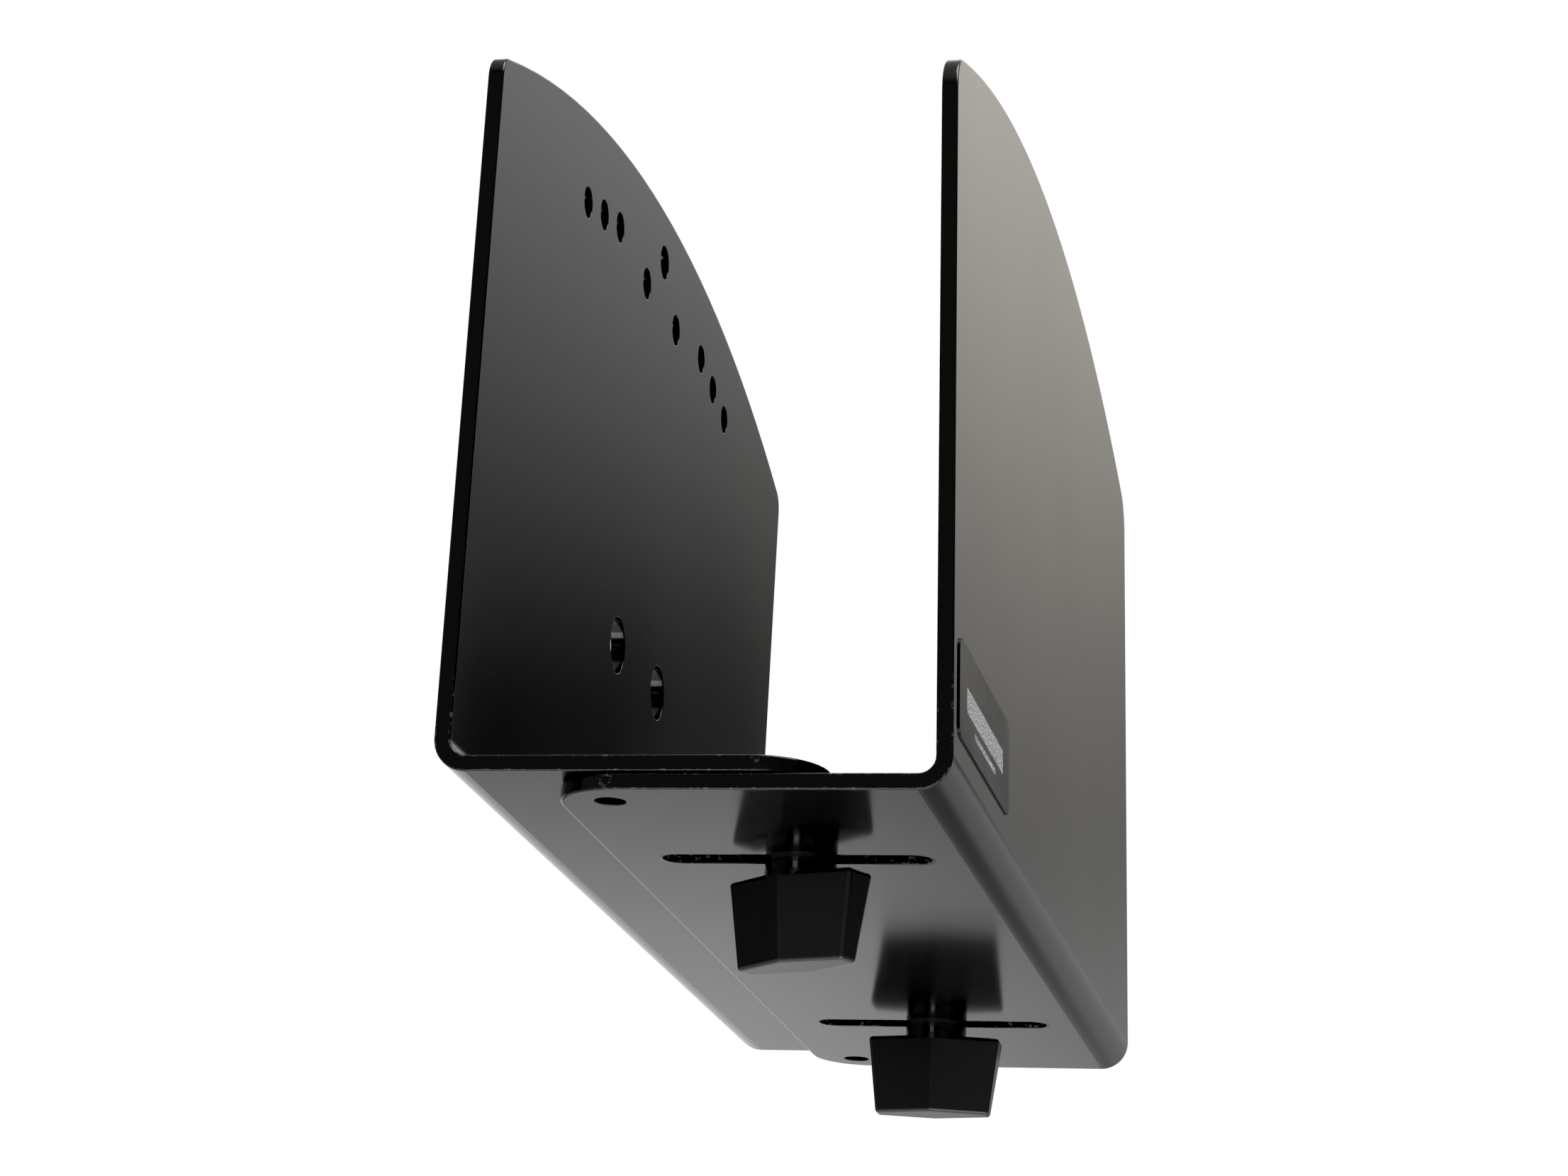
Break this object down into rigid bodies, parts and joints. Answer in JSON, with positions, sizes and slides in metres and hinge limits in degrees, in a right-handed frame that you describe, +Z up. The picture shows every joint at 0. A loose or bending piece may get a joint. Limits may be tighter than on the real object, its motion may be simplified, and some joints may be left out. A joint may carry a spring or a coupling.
{
  "type": "cpu holder",
  "caption": "Width-adjustable under-desk CPU holder: two L-shaped steel plates with arched walls overlap as a cradle and are clamped by wing knobs below.",
  "frame": {"origin": "middle of the row of mounting holes, on the wall bracket's mounting face", "axes": "+X from the mounting face across the computer space to the outer wall, +Y front to back, +Z up"},
  "size_m": [0.0922, 0.254, 0.1814],
  "materials": {
    "wall_plate_paint": "satin black powder coat",
    "outer_plate_paint": "satin black powder coat",
    "label_film": "glossy black label with a plain pale stripe",
    "stud_steel": "zinc-plated steel",
    "washer_steel": "black-finished steel",
    "knob_plastic": "black moulded nylon",
    "insert_brass": "machined brass"
  },
  "bodies": {
    "wall_side": {"wall_bracket": "wall_plate_paint", "front_stud": "stud_steel", "rear_stud": "stud_steel"},
    "outer_side": {"outer_bracket": "outer_plate_paint", "label": "label_film"},
    "front_clamp_washer": {"front_washer": "washer_steel"},
    "front_clamp_knob": {"front_knob": "knob_plastic", "front_insert": "insert_brass"},
    "rear_clamp_washer": {"rear_washer": "washer_steel"},
    "rear_clamp_knob": {"rear_knob": "knob_plastic", "rear_insert": "insert_brass"}
  },
  "joints": [
    {"name": "width_slide", "type": "slide", "parent": "wall_side", "child": "outer_side", "axis": [1, 0, 0], "range_m": [-0.018, 0.023]},
    {"name": "front_clamp_drop", "type": "slide", "parent": "wall_side", "child": "front_clamp_washer", "axis": [0, 0, -1], "range_m": [0, 0.0051]},
    {"name": "front_clamp_turn", "type": "hinge", "parent": "front_clamp_washer", "child": "front_clamp_knob", "pos_m": [0.056, -0.0762, -0.1445], "axis": [0, 0, -1], "range_deg": [0, 1800]},
    {"name": "rear_clamp_drop", "type": "slide", "parent": "wall_side", "child": "rear_clamp_washer", "axis": [0, 0, -1], "range_m": [0, 0.0051]},
    {"name": "rear_clamp_turn", "type": "hinge", "parent": "rear_clamp_washer", "child": "rear_clamp_knob", "pos_m": [0.056, 0.0762, -0.1445], "axis": [0, 0, -1], "range_deg": [0, 1800]}
  ],
  "couplings": [
    {"joint": "front_clamp_drop", "follows": "front_clamp_turn", "m_per_rad": 0.00015915},
    {"joint": "rear_clamp_drop", "follows": "rear_clamp_turn", "m_per_rad": 0.00015915}
  ]
}
